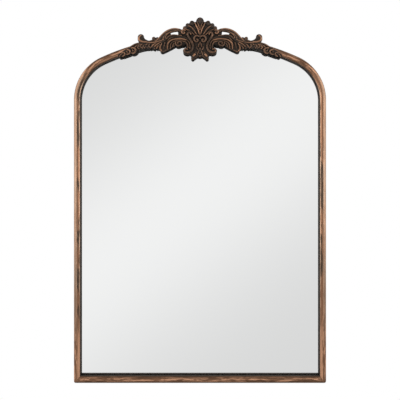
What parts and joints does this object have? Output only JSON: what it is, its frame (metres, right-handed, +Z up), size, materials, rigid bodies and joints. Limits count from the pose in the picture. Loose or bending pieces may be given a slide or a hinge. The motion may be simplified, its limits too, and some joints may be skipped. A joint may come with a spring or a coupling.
{
  "type": "arched wall mirror",
  "caption": "Tall wall mirror in a slim arched metal frame with a carved shell and acanthus crest, hung by swinging D-rings behind it.",
  "frame": {"origin": "on the wall plane, midway between the two wall hooks", "axes": "+Z up, +Y into the wall, so the glass faces -Y, +X to the right seen from the front"},
  "size_m": [0.61, 0.044, 0.885],
  "materials": {
    "rubbed_bronze": "brushed bronze rubbed through to copper",
    "cast_crest": "cast resin, dark bronze with copper-rubbed ridges",
    "mirror_pane": "silvered float glass",
    "fibreboard": "raw fibreboard",
    "black_steel": "satin black",
    "zinc_steel": "zinc plated",
    "bumper_rubber": "matt",
    "foam": "closed-cell foam tape"
  },
  "bodies": {
    "root": {"frame_arch": "rubbed_bronze", "bottom_rail": "rubbed_bronze", "corner_key_left": "zinc_steel", "corner_key_right": "zinc_steel", "corner_screws": "zinc_steel", "glass_tape": "foam", "mirror_glass": "mirror_pane", "foam_strips": "foam", "backing_board": "fibreboard", "retaining_tab_1": "black_steel", "retaining_tab_2": "black_steel", "retaining_tab_3": "black_steel", "retaining_tab_4": "black_steel", "retaining_tab_5": "black_steel", "retaining_tab_6": "black_steel", "retaining_tab_7": "black_steel", "retaining_tab_8": "black_steel", "tab_screws": "zinc_steel", "hanger_bracket_left": "black_steel", "hanger_bracket_right": "black_steel", "hanger_strap_left": "zinc_steel", "hanger_strap_right": "zinc_steel", "hanger_rivets": "zinc_steel", "wall_bumpers": "bumper_rubber", "crest_plate": "black_steel", "crest_ear_left": "black_steel", "crest_ear_right": "black_steel", "crest_screws": "zinc_steel", "crest_shell": "cast_crest", "crest_spray_left": "cast_crest", "crest_spray_right": "cast_crest"},
    "ring_left": {"d_ring_left": "zinc_steel"},
    "ring_right": {"d_ring_right": "zinc_steel"}
  },
  "joints": [
    {"name": "ring_left_swing", "type": "hinge", "parent": "root", "child": "ring_left", "pos_m": [-0.272, -0.00337, -0.011], "axis": [1, 0, 0], "range_deg": [0, 170]},
    {"name": "ring_right_swing", "type": "hinge", "parent": "root", "child": "ring_right", "pos_m": [0.272, -0.00337, -0.011], "axis": [1, 0, 0], "range_deg": [0, 170]}
  ]
}
